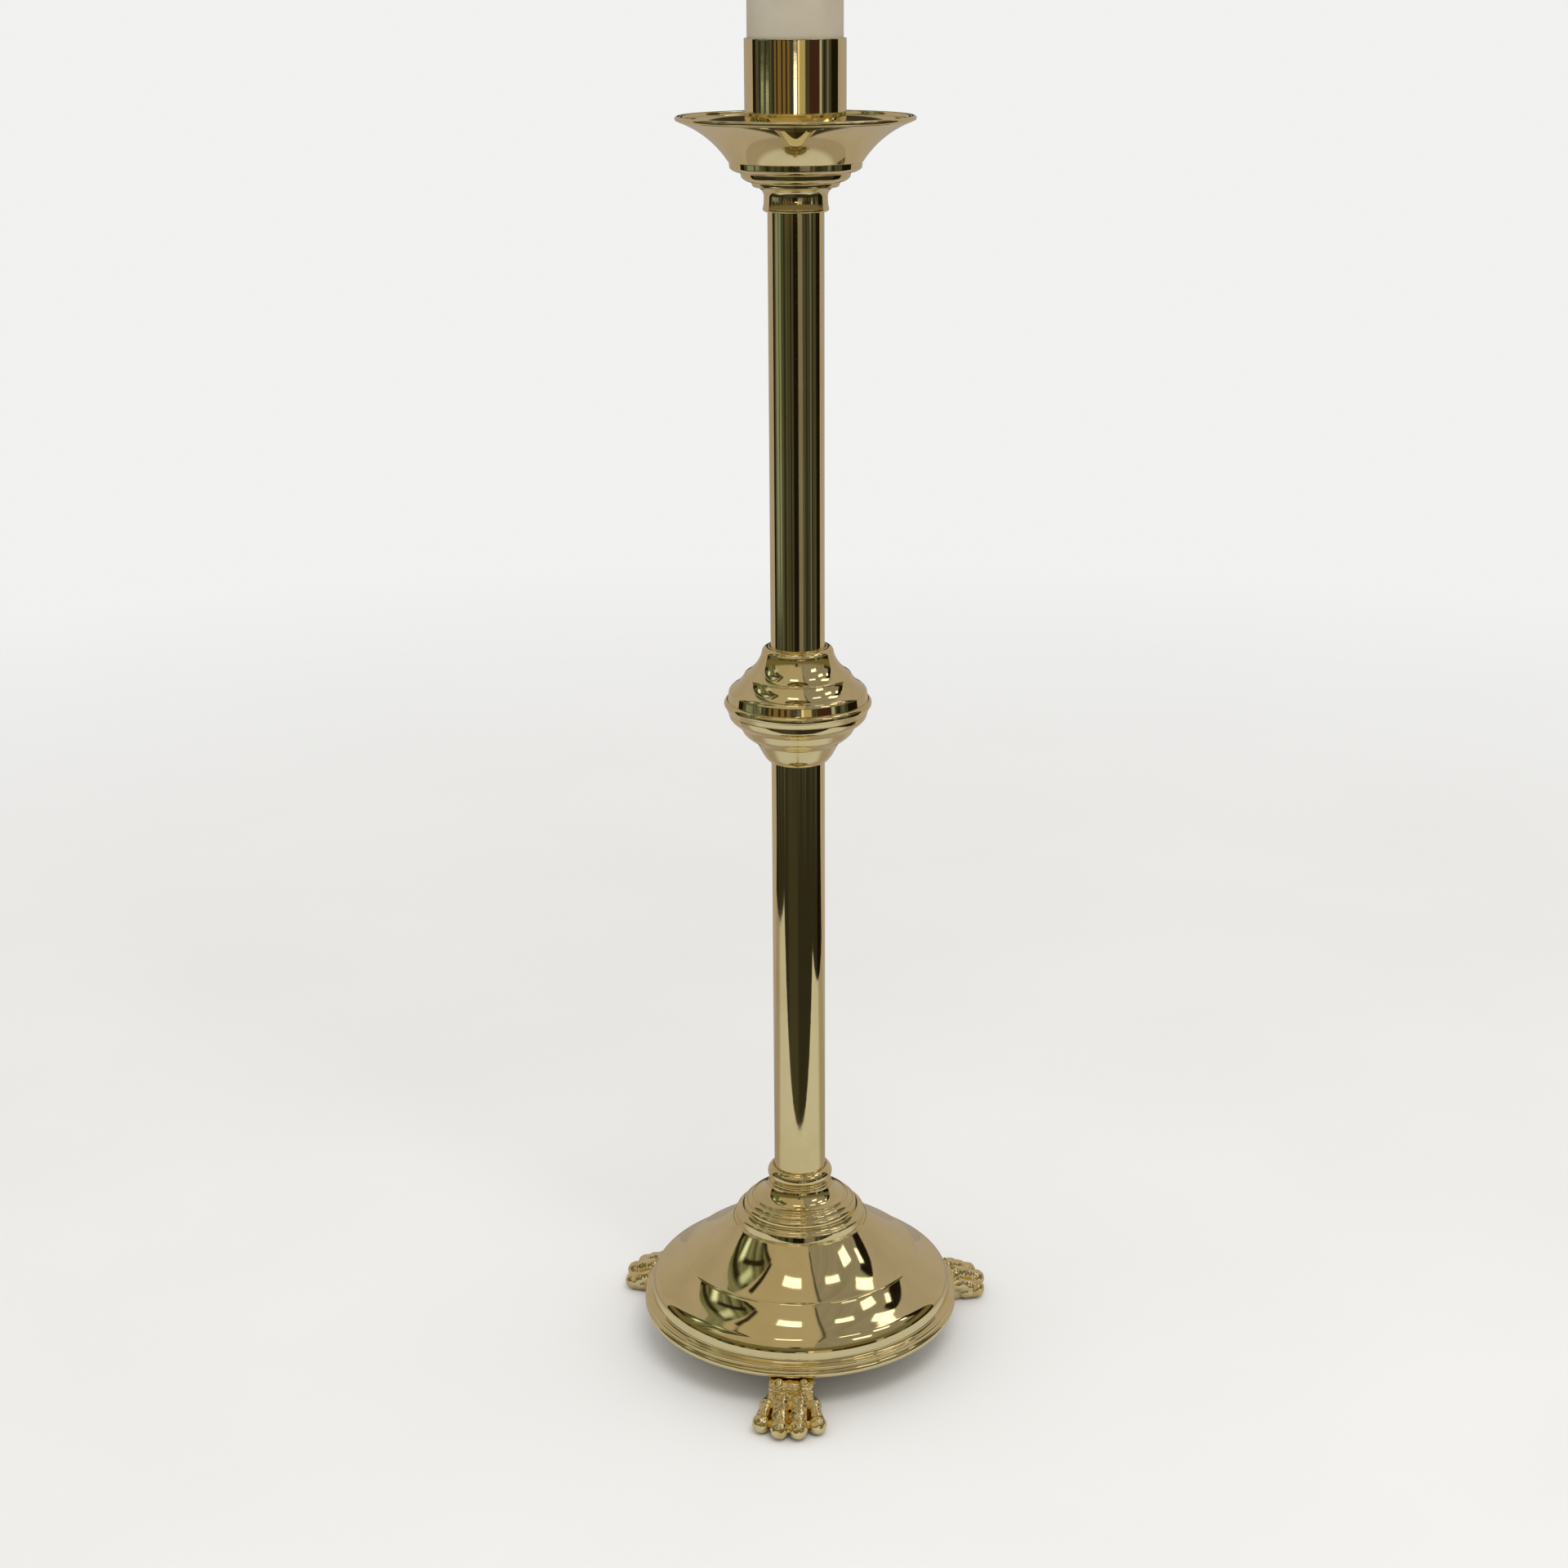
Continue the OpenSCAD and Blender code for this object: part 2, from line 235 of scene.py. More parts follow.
def lathe(name, profile, closed, around=AROUND):
    """Turns a (radius, height) outline about Z. Points on the axis become single poles."""
    verts, rings = [], []
    for p in profile:
        if p.x < ON_AXIS:
            rings.append([len(verts)])
            verts.append((0, 0, p.y))
        else:
            rings.append(list(range(len(verts), len(verts) + around)))
            for k in range(around):
                a = 2 * math.pi * k / around
                verts.append((p.x * math.cos(a), p.x * math.sin(a), p.y))
    faces = []
    for i in range(len(rings) if closed else len(rings) - 1):
        r, s = rings[i], rings[(i + 1) % len(rings)]
        if len(r) == 1 and len(s) == 1:
            continue
        for k in range(around):
            k2 = (k + 1) % around
            if len(r) == 1:
                faces.append((r[0], s[k2], s[k]))
            elif len(s) == 1:
                faces.append((r[k], r[k2], s[0]))
            else:
                faces.append((r[k], r[k2], s[k2], s[k]))
    return new_object(name, verts, faces)


# ---- materials -------------------------------------------------------------------------------


class Nodes:
    """Short ways to add nodes to one material's tree."""

    def __init__(self, name, shader="ShaderNodeBsdfPrincipled"):
        self.material = bpy.data.materials.new(name)
        self.material.use_nodes = True
        self.tree = self.material.node_tree
        self.tree.nodes.clear()
        self.out = self.tree.nodes.new("ShaderNodeOutputMaterial")
        self.shader = self.tree.nodes.new(shader)
        self.link(self.shader.outputs[0], self.out.inputs["Surface"])

    def link(self, a, b):
        self.tree.links.new(a, b)

    def set(self, **values):
        for key, value in values.items():
            self.shader.inputs[key.replace("_", " ")].default_value = value

    def node(self, kind, **settings):
        made = self.tree.nodes.new(kind)
        for key, value in settings.items():
            setattr(made, key, value)
        return made

    def feed(self, made, **inputs):
        for key, value in inputs.items():
            socket = made.inputs[key.replace("_", " ")]
            if isinstance(value, bpy.types.NodeSocket):
                self.link(value, socket)
            else:
                socket.default_value = value
        return made

    def maths(self, how, a, b=0.0):
        made = self.node("ShaderNodeMath", operation=how)
        for i, value in enumerate((a, b)):
            if isinstance(value, bpy.types.NodeSocket):
                self.link(value, made.inputs[i])
            else:
                made.inputs[i].default_value = value
        return made.outputs[0]

    def place(self):
        return self.node("ShaderNodeTexCoord").outputs["Object"]

    def noise(self, vector, scale, detail, roughness=0.5, distortion=0.0):
        made = self.feed(
            self.node("ShaderNodeTexNoise"),
            Scale=scale,
            Detail=detail,
            Roughness=roughness,
            Distortion=distortion,
        )
        self.link(vector, made.inputs["Vector"])
        return made.outputs["Fac"]

    def stretch(self, value, low, high, to_low, to_high):
        made = self.node("ShaderNodeMapRange")
        self.link(value, made.inputs["Value"])
        made.inputs["From Min"].default_value = low
        made.inputs["From Max"].default_value = high
        made.inputs["To Min"].default_value = to_low
        made.inputs["To Max"].default_value = to_high
        return made.outputs["Result"]

    def ramp(self, value, *stops):
        made = self.node("ShaderNodeValToRGB")
        self.link(value, made.inputs["Fac"])
        band = made.color_ramp.elements
        while len(band) < len(stops):
            band.new(0.5)
        for element, (at, colour) in zip(band, stops):
            element.position = at
            element.color = (*colour, 1.0)
        return made.outputs["Color"]

    def mix(self, mask, under, over):
        """One colour over another where the mask is 1."""
        made = self.node("ShaderNodeMix", data_type="RGBA")
        for at, value in ((0, mask), (6, under), (7, over)):
            if isinstance(value, bpy.types.NodeSocket):
                self.link(value, made.inputs[at])
            else:
                made.inputs[at].default_value = (*value, 1.0)
        return made.outputs[2]

    def bump(self, height, strength, distance, normal=None):
        made = self.feed(
            self.node("ShaderNodeBump"), Strength=strength, Distance=distance
        )
        self.link(height, made.inputs["Height"])
        if normal is not None:
            self.link(normal, made.inputs["Normal"])
        return made.outputs["Normal"]

    def turning(self):
        """Coordinates that run along the lathe's grain: fast across it, slow round it."""
        fast, slow, smallest_radius = 60.0, 0.22, 0.002
        place = self.place()
        split = self.node("ShaderNodeSeparateXYZ")
        self.link(place, split.inputs[0])
        x, y, z = split.outputs
        radius = self.maths(
            "SQRT", self.maths("ADD", self.maths("MULTIPLY", x, x), self.maths("MULTIPLY", y, y))
        )
        safe = self.maths("MAXIMUM", radius, smallest_radius)
        made = self.node("ShaderNodeCombineXYZ")
        across = self.maths(
            "ADD", self.maths("MULTIPLY", radius, fast), self.maths("MULTIPLY", z, fast)
        )
        self.link(across, made.inputs[0])
        self.link(self.maths("MULTIPLY", self.maths("DIVIDE", x, safe), slow), made.inputs[1])
        self.link(self.maths("MULTIPLY", self.maths("DIVIDE", y, safe), slow), made.inputs[2])
        return made.outputs[0]


def polished_brass(name, grain="turned"):
    """Polished and lacquered brass: a clean mirror with faint buffing lines, a lacquer skin that
    wavers a little, and soft patches where the tone and the gloss change."""
    n = Nodes(name)
    place = n.place()
    tone = n.noise(place, 9.0, 4.0, 0.55, 0.6)
    fine = n.noise(place, 75.0, 3.0, 0.6)
    mixed = n.maths("ADD", n.maths("MULTIPLY", tone, 0.75), n.maths("MULTIPLY", fine, 0.25))
    n.link(
        n.ramp(
            mixed,
            (0.30, (0.80, 0.665, 0.335)),
            (0.50, (0.855, 0.735, 0.405)),
            (0.72, (0.885, 0.775, 0.450)),
        ),
        n.shader.inputs["Base Color"],
    )
    n.set(Metallic=1.0, Coat_Weight=0.25, Coat_Roughness=0.03, Coat_IOR=1.45)
    if grain == "turned":
        lines = n.noise(n.turning(), 26.0, 5.0, 0.72)
    else:
        drawn = n.node("ShaderNodeMapping")
        n.link(place, drawn.inputs["Vector"])
        drawn.inputs["Scale"].default_value = (900.0, 900.0, 7.0)
        lines = n.noise(drawn.outputs[0], 1.0, 4.0, 0.6)
    smear = n.noise(place, 22.0, 5.0, 0.62, 1.2)
    gloss = n.maths(
        "ADD",
        n.stretch(smear, 0.35, 0.75, 0.030, 0.060),
        n.stretch(lines, 0.35, 0.70, 0.0, 0.02),
    )
    n.link(gloss, n.shader.inputs["Roughness"])
    skin = n.bump(n.noise(place, 55.0, 2.0, 0.5), 0.05, 0.0006)
    n.link(n.bump(lines, 0.035, 0.0001, skin), n.shader.inputs["Normal"])
    return n.material


def cast_brass(name):
    """Polished cast brass: deeper in tone, with a fine foundry skin and patches of tarnish."""
    n = Nodes(name)
    place = n.place()
    tone = n.noise(place, 60.0, 4.0, 0.6, 0.8)
    n.link(
        n.ramp(
            tone,
            (0.28, (0.70, 0.520, 0.220)),
            (0.48, (0.90, 0.745, 0.385)),
            (0.70, (0.95, 0.835, 0.490)),
        ),
        n.shader.inputs["Base Color"],
    )
    n.set(Metallic=1.0, Coat_Weight=0.2, Coat_Roughness=0.05, Coat_IOR=1.45)
    grit = n.noise(place, 900.0, 3.0, 0.6)
    dents = n.noise(place, 240.0, 3.0, 0.55)
    n.link(n.stretch(tone, 0.3, 0.7, 0.17, 0.08), n.shader.inputs["Roughness"])
    coarse = n.bump(dents, 0.22, 0.0008)
    n.link(n.bump(grit, 0.07, 0.0002, coarse), n.shader.inputs["Normal"])
    return n.material


def plated_steel(name):
    """Bright zinc plate, a little cloudy."""
    n = Nodes(name)
    place = n.place()
    tone = n.noise(place, 120.0, 4.0, 0.6)
    n.link(
        n.ramp(tone, (0.3, (0.42, 0.43, 0.45)), (0.7, (0.66, 0.67, 0.68))),
        n.shader.inputs["Base Color"],
    )
    n.set(Metallic=1.0)
    n.link(n.stretch(tone, 0.3, 0.7, 0.38, 0.24), n.shader.inputs["Roughness"])
    n.link(n.bump(n.noise(place, 700.0, 3.0), 0.1, 0.0002), n.shader.inputs["Normal"])
    return n.material


def cast_iron(name):
    """Rough dark iron, pitted and stained."""
    n = Nodes(name)
    place = n.place()
    pits = n.noise(place, 420.0, 5.0, 0.65)
    stain = n.noise(place, 35.0, 4.0, 0.6)
    n.link(
        n.ramp(stain, (0.35, (0.045, 0.044, 0.045)), (0.7, (0.095, 0.085, 0.078))),
        n.shader.inputs["Base Color"],
    )
    n.set(Metallic=0.6)
    n.link(n.stretch(pits, 0.3, 0.7, 0.75, 0.5), n.shader.inputs["Roughness"])
    n.link(n.bump(pits, 0.5, 0.0006), n.shader.inputs["Normal"])
    return n.material


def candle_wax(name):
    """Ivory wax that lets some light in, with a faint bloom and the slightest hand-smoothed waves."""
    n = Nodes(name)
    place = n.place()
    cloud = n.noise(place, 16.0, 4.0, 0.55, 0.4)
    speck = n.noise(place, 420.0, 2.0, 0.5)
    n.link(
        n.ramp(
            cloud,
            (0.32, (0.385, 0.335, 0.240)),
            (0.55, (0.430, 0.380, 0.285)),
            (0.75, (0.465, 0.425, 0.330)),
        ),
        n.shader.inputs["Base Color"],
    )
    n.set(
        Subsurface_Weight=0.35,
        Subsurface_Radius=(0.010, 0.007, 0.004),
        Subsurface_Scale=0.6,
        Specular_IOR_Level=0.42,
    )
    n.link(n.stretch(cloud, 0.3, 0.7, 0.36, 0.48), n.shader.inputs["Roughness"])
    waves = n.bump(n.noise(place, 45.0, 3.0), 0.10, 0.0008)
    n.link(n.bump(speck, 0.06, 0.0002, waves), n.shader.inputs["Normal"])
    return n.material


def wick_cotton(name):
    """Undyed cotton, matt and fibrous."""
    n = Nodes(name)
    place = n.place()
    fibre = n.noise(place, 2600.0, 3.0, 0.6)
    n.link(
        n.ramp(fibre, (0.3, (0.62, 0.56, 0.44)), (0.7, (0.86, 0.82, 0.72))),
        n.shader.inputs["Base Color"],
    )
    n.set(Roughness=0.9, Sheen_Weight=0.3, Sheen_Roughness=0.5)
    n.link(n.bump(fibre, 0.5, 0.0003), n.shader.inputs["Normal"])
    return n.material


SPUN = polished_brass("spun_brass")
DRAWN = polished_brass("drawn_tube_brass", grain="drawn")
CAST = cast_brass("cast_paw_brass")
STEEL = plated_steel("plated_steel")
IRON = cast_iron("cast_iron")
WAX = candle_wax("candle_wax")
COTTON = wick_cotton("wick_cotton")


# ---- turned brass ----------------------------------------------------------------------------

TURNED = [
    "candle_socket",
    "drip_pan",
    "pan_neck",
    "upper_tube",
    "knop_upper_shell",
    "knop_rim_ring",
    "knop_lower_shell",
    "lower_tube",
    "base_collar",
    "base_cup",
    "base_dome",
]
for name in TURNED:
    points, closed = node_outline(name)
    piece = lathe("turned_" + name, eased(points, closed, BRASS_EDGE), closed)
    brass = DRAWN if name.endswith("tube") else SPUN
    finish_piece(piece, brass, STICK, "brass", name)


# ---- candle and wick -------------------------------------------------------------------------

points, closed = node_outline("candle")
wax = lathe("wax_candle", eased(points, closed, WAX_EDGE), closed, around=160)
finish_piece(wax, WAX, CANDLE, "wax", "candle")

wick_low, wick_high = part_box("wick")


def braided_wick():
    """Three cotton strands that wind round each other and taper at the top."""
    verts, faces = [], []
    sides, rings = 10, 46
    strands, winds, taper = 3, 2.1, 0.1
    radius = (wick_high.x - wick_low.x) / 2
    strand = radius * 0.52
    orbit = radius - strand
    foot, top = wick_low.z + 0.0002, wick_high.z
    for s in range(strands):
        base = len(verts)
        for i in range(rings + 1):
            t = i / rings
            z = foot + (top - foot - strand) * t
            turn = 2 * math.pi * (s / strands + winds * t)
            c = Vector((orbit * math.cos(turn), orbit * math.sin(turn), z))
            r = strand * (1 - 0.55 * max(0.0, (t - 1 + taper) / taper) ** 2)
            for k in range(sides):
                a = 2 * math.pi * k / sides
                verts.append(c + Vector((r * math.cos(a), r * math.sin(a), 0)))
        for i in range(rings):
            for k in range(sides):
                a, b = base + i * sides + k, base + i * sides + (k + 1) % sides
                faces.append((a, b, b + sides, a + sides))
        faces.append(tuple(base + k for k in reversed(range(sides))))
        faces.append(tuple(base + rings * sides + k for k in range(sides)))
    return new_object("braided_wick", verts, faces)


finish_piece(braided_wick(), COTTON, CANDLE, "cotton", "wick")


# ---- paws ------------------------------------------------------------------------------------


BLOB_RINGS = 16
LIMB_SIDES = 24


def blob(bm, centre, size, turn=(0, 0, 0)):
    """An ellipsoid, in millimetres."""
    place = (
        Matrix.Translation(Vector(centre))
        @ Euler([math.radians(v) for v in turn]).to_matrix().to_4x4()
        @ Matrix.Diagonal((*size, 1))
    )
    bmesh.ops.create_uvsphere(
        bm, u_segments=BLOB_RINGS * 2, v_segments=BLOB_RINGS, radius=1, matrix=place
    )


def limb(bm, points, radii, squeeze=1.0):
    """A closed tube through points, in millimetres, with round ends and its own radius at each."""
    pts = [Vector(p) for p in points]
    rows = []
    for i, p in enumerate(pts):
        along = (pts[min(i + 1, len(pts) - 1)] - pts[max(i - 1, 0)]).normalized()
        side = Vector((0, 1, 0))
        side = (side - along * side.dot(along)).normalized()
        up = along.cross(side)
        rows.append((p, side, up, radii[i]))
    rings = []
    for p, side, up, r in rows:
        rings.append(
            [
                bm.verts.new(
                    p
                    + side * r * squeeze * math.cos(2 * math.pi * k / LIMB_SIDES)
                    + up * r * math.sin(2 * math.pi * k / LIMB_SIDES)
                )
                for k in range(LIMB_SIDES)
            ]
        )
    for a, b in zip(rings, rings[1:]):
        for k in range(LIMB_SIDES):
            after = (k + 1) % LIMB_SIDES
            bm.faces.new((a[k], a[after], b[after], b[k]))
    bm.faces.new(list(reversed(rings[0])))
    bm.faces.new(rings[-1])
    for p, _, _, r in (rows[0], rows[-1]):
        blob(bm, p, (r, r * squeeze, r))


def slab(bm, outline, half_width):
    """A closed prism: an outline in the XZ plane, spread to both sides along Y, in millimetres."""
    left = [bm.verts.new((x, -half_width, z)) for x, z in outline]
    right = [bm.verts.new((x, half_width, z)) for x, z in outline]
    bm.faces.new(left)
    bm.faces.new(list(reversed(right)))
    for i in range(len(outline)):
        j = (i + 1) % len(outline)
        bm.faces.new((left[j], left[i], right[i], right[j]))


def paw_mesh():
    """One paw pointing along +X, as overlapping forms for sculpt() to melt together."""
    bm = bmesh.new()
    # the lug under the foot ring and the leg that comes down from it
    slab(bm, [(96, 20), (112, 20), (112, 29), (96, 29)], 17)
    slab(bm, [(108, 1), (130, 1), (131, 15), (122.5, 26.4), (108, 26.6)], 16.2)
    # two ridges down the front of the leg, with a hollow between them
    limb(bm, [(120.5, 9, 25), (123.5, 9.5, 19), (129, 9, 13)], [3.8, 3.8, 5.4])
    limb(bm, [(120.5, -9, 25), (123.5, -9.5, 19), (129, -9, 13)], [3.8, 3.8, 5.4])
    # cuff across the ankle
    limb(bm, [(124.2, -13.6, 22.6), (125.8, -8, 23.0), (125.0, -1.9, 22.4)], [2.5, 3.0, 2.4])
    limb(bm, [(125.0, 1.9, 22.4), (125.8, 8, 23.0), (124.2, 13.6, 22.6)], [2.4, 3.0, 2.5])
    # heel pad under the leg
    blob(bm, (124, 0, 6), (15, 17, 7.5))
    for side in (-1, 1):
        # inner toe: long and fat, two joints, high in the middle
        y = 6.5 * side
        limb(
            bm,
            [(125, y, 14.5), (133.0, y, 16.6), (139, y, 14.4), (143.5, y, 12.6)],
            [6.0, 6.8, 6.2, 6.4],
            0.98,
        )
        blob(bm, (144.4, y, 12.2), (6.4, 6.5, 6.2))
        blob(bm, (151.4, y * 1.04, 7.3), (8.3, 7.0, 7.3))
        limb(bm, [(144, y, 8.0), (149, y, 7.0)], [6.6, 6.6])
        # outer toe: shorter, set lower and turned out
        limb(
            bm,
            [
                (124, 15.6 * side, 12.0),
                (130.5, 17.4 * side, 13.4),
                (136, 18.2 * side, 11.0),
                (139.5, 19.2 * side, 9.4),
            ],
            [4.8, 5.3, 4.9, 5.4],
            0.95,
        )
        blob(bm, (144.6, 20.1 * side, 6.8), (7.2, 6.8, 6.8), (0, 0, 6 * side))
        limb(bm, [(136, 18.0 * side, 6), (142, 19.4 * side, 6)], [5.8, 6.0])
    # web that fills between the toes, low down
    slab(bm, [(118, 1), (140, 1), (140, 6.5), (133, 10), (118, 12)], 19)
    mesh = bpy.data.meshes.new("paw_form")
    bm.to_mesh(mesh)
    bm.free()
    return mesh


def sculpt(mesh, voxel):
    """Melts a mesh of overlapping forms into one skin and smooths it."""
    mesh.transform(Matrix.Scale(MM, 4))
    obj = bpy.data.objects.new("paw_form", mesh)
    bpy.context.scene.collection.objects.link(obj)
    melt = obj.modifiers.new("melt", "REMESH")
    melt.mode = "VOXEL"
    melt.voxel_size = voxel
    melt.use_smooth_shade = True
    soften = obj.modifiers.new("soften", "SMOOTH")
    soften.factor = 0.5
    soften.iterations = 4
    depsgraph = bpy.context.evaluated_depsgraph_get()
    made = bpy.data.meshes.new_from_object(obj.evaluated_get(depsgraph))
    bpy.data.objects.remove(obj)
    return made


SKIN_VOXEL = 0.55 * MM
LUMP = 0.07 * MM
INSIDE_BOX = 0.05 * MM  # kept between the paw and the sides of its CAD box

paw_form = sculpt(paw_mesh(), SKIN_VOXEL)
co = np.empty(len(paw_form.vertices) * 3)
paw_form.vertices.foreach_get("co", co)
co = co.reshape(-1, 3)
# the casting is a little lumpy all over: shallow waves that cross at odd angles
outward = np.empty(len(paw_form.vertices) * 3)
paw_form.vertices.foreach_get("normal", outward)
lumps = sum(
    np.sin(co @ np.array(way) / MM + phase)
    for way, phase in (
        ((0.8, 0.4, 0.7), 0.3),
        ((-0.5, 1.1, 0.6), 1.9),
        ((0.7, -0.9, 1.1), 4.0),
        ((1.4, 0.6, -1.0), 2.6),
    )
)
co += outward.reshape(-1, 3) * (lumps * LUMP)[:, None]
# the sole is flat, and the paw keeps to its CAD box
low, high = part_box("paw_front")
co[:, 2] = np.clip(co[:, 2], 0.0, high.z)
co[:, 0] = np.clip(co[:, 0], -high.y, -low.y - INSIDE_BOX)
co[:, 1] = np.clip(co[:, 1], low.x + INSIDE_BOX, high.x - INSIDE_BOX)
paw_form.vertices.foreach_set("co", co.ravel())
paw_form.update()

for name, angle in (("paw_front", -90), ("paw_right", 30), ("paw_left", 150)):
    mesh = paw_form.copy()
    mesh.transform(Matrix.Rotation(math.radians(angle), 4, "Z"))
    mesh.shade_smooth()
    piece = bpy.data.objects.new("cast_" + name, mesh)
    bpy.context.scene.collection.objects.link(piece)
    finish_piece(piece, CAST, STICK, "cast_brass", name)


# ---- CAD nodes that stay as they are -----------------------------------------------------------

KEPT = {
    SPUN: [
        "candle_rest",
        "socket_floor",
        "upper_tube_top_plug",
        "upper_tube_bottom_plug",
        "lower_tube_top_plug",
        "lower_tube_bottom_plug",
        "foot_ring",
    ],
    STEEL: [
        "socket_washer",
        "socket_nut",
        "base_washer",
        "base_nut",
        "tie_rod",
        "paw_screws",
        "paw_washers",
    ],
    IRON: ["base_weight"],
}
for material, names in KEPT.items():
    for name in names:
        nodes[name].data.materials.clear()
        nodes[name].data.materials.append(material)


# ---- camera ----------------------------------------------------------------------------------

TURN = math.radians(3.3)  # how far the camera stands round to the right of the front
DISTANCE = 1.6852  # from the candlestick's axis, and the height of the lens
EYE = 0.9931
PITCH = math.radians(18)  # downwards
ROLL = math.radians(-0.24)

camera = bpy.data.objects.new("camera", bpy.data.cameras.new("camera"))
bpy.context.scene.collection.objects.link(camera)
camera.data.sensor_width = 36
camera.data.lens = 56.7
camera.data.shift_x = -0.0091
camera.data.shift_y = -0.0027
camera.data.clip_start = 0.05
camera.data.clip_end = 60
camera.location = (DISTANCE * math.sin(TURN), -DISTANCE * math.cos(TURN), EYE)
camera.rotation_mode = "QUATERNION"
camera.rotation_quaternion = (
    Euler((math.radians(90) - PITCH, 0, TURN)).to_quaternion()
    @ Euler((0, 0, ROLL)).to_quaternion()
)
bpy.context.scene.camera = camera


# ---- floor and light -------------------------------------------------------------------------

FLOOR_TONE = (0.80, 0.798, 0.79)
PAPER_WHITE = (0.885, 0.884, 0.878)
FLOOR_AT, TABLE_AT = -0.0003, -0.0001  # just under the paws
FADE = (0.9, 2.6)  # metres from the axis over which the floor thins out


def sheet(name, x, y, z):
    """A flat rectangle of the stage, from (x[0], y[0]) to (x[1], y[1]), turned with the camera."""
    made = new_object(
        name,
        [(x[0], y[0], z), (x[1], y[0], z), (x[1], y[1], z), (x[0], y[1], z)],
        [(0, 1, 2, 3)],
        smooth=False,
    )
    made.rotation_euler.z = TURN
    return made


def pale_floor(name, fades, dimmed=1.0, far_tone=None):
    """Matt paper. Where it fades, it thins out into the white beyond, so that no edge shows. With
    a far tone, it turns to that behind the candlestick."""
    n = Nodes(name)
    place = n.place()
    n.set(Roughness=0.9, Specular_IOR_Level=0.1)
    tones = [tuple(t * dimmed * tone for t in FLOOR_TONE) for tone in (0.985, 1.015)]
    paper = n.ramp(n.noise(place, 3.0, 3.0), (0.3, tones[0]), (0.7, tones[1]))
    if far_tone:
        split = n.node("ShaderNodeSeparateXYZ")
        n.link(place, split.inputs[0])
        paper = n.mix(n.stretch(split.outputs[1], 0.0, 0.12, 0.0, 1.0), paper, far_tone)
    n.link(paper, n.shader.inputs["Base Color"])
    if fades:
        away = n.node("ShaderNodeVectorMath", operation="LENGTH")
        n.link(place, away.inputs[0])
        n.link(n.stretch(away.outputs["Value"], *FADE, 1.0, 0.0), n.shader.inputs["Alpha"])
    return n.material


floor = sheet("floor", (-4, 4), (-4, 4), FLOOR_AT)
floor.data.materials.append(pale_floor("pale_floor", True))
floor.visible_glossy = False

BACKDROP = (0.43, 0.375, 0.325)
FAR_TABLE = (0.344, 0.30, 0.26)
CEILING = (0.44, 0.375, 0.275)
SHADOW_LINE = (0.020, 0.016, 0.006)


def mirrored_card(name, corners, colour_nodes):
    """A glowing sheet that shows only where the brass mirrors it."""
    made = new_object(name, corners, [tuple(range(len(corners)))], smooth=False)
    made.rotation_euler.z = TURN
    n = Nodes(name + "_paint", "ShaderNodeEmission")
    n.link(colour_nodes(n), n.shader.inputs["Color"])
    made.data.materials.append(n.material)
    for ray in ("camera", "diffuse", "shadow", "transmission", "volume_scatter"):
        setattr(made, "visible_" + ray, False)


def backdrop_tone(n):
    """Beige paper with a thin light line right behind the stem, between two dark bands."""
    split = n.node("ShaderNodeSeparateXYZ")
    n.link(n.place(), split.inputs[0])
    across = n.maths("ABSOLUTE", split.outputs[0])
    bands = n.maths(
        "MULTIPLY",
        n.stretch(across, 0.085, 0.105, 1.0, 0.0),
        n.stretch(across, 0.018, 0.024, 0.0, 1.0),
    )
    paper = n.ramp(
        n.noise(n.place(), 1.6, 2.0),
        (0.3, tuple(0.94 * c for c in BACKDROP)),
        (0.7, tuple(1.06 * c for c in BACKDROP)),
    )
    return n.mix(bands, paper, (0.05, 0.04, 0.03))


# what stands round the candlestick in its mirror: a table that ends a little way in front, and a
# paper backdrop behind
TABLE_FRONT, BACKDROP_AT = -0.385, 0.42
table = sheet("table_top", (-0.89, 0.72), (TABLE_FRONT, BACKDROP_AT), TABLE_AT)
table.data.materials.append(pale_floor("pale_table", False, 0.66, FAR_TABLE))
table.visible_camera = False
table.visible_diffuse = False
table.visible_shadow = False
BACKDROP_SIDE, BACKDROP_TOP = 1.12, 1.5
mirrored_card(
    "paper_backdrop",
    [
        (-BACKDROP_SIDE, BACKDROP_AT, 0),
        (BACKDROP_SIDE, BACKDROP_AT, 0),
        (BACKDROP_SIDE, BACKDROP_AT, BACKDROP_TOP),
        (-BACKDROP_SIDE, BACKDROP_AT, BACKDROP_TOP),
    ],
    backdrop_tone,
)


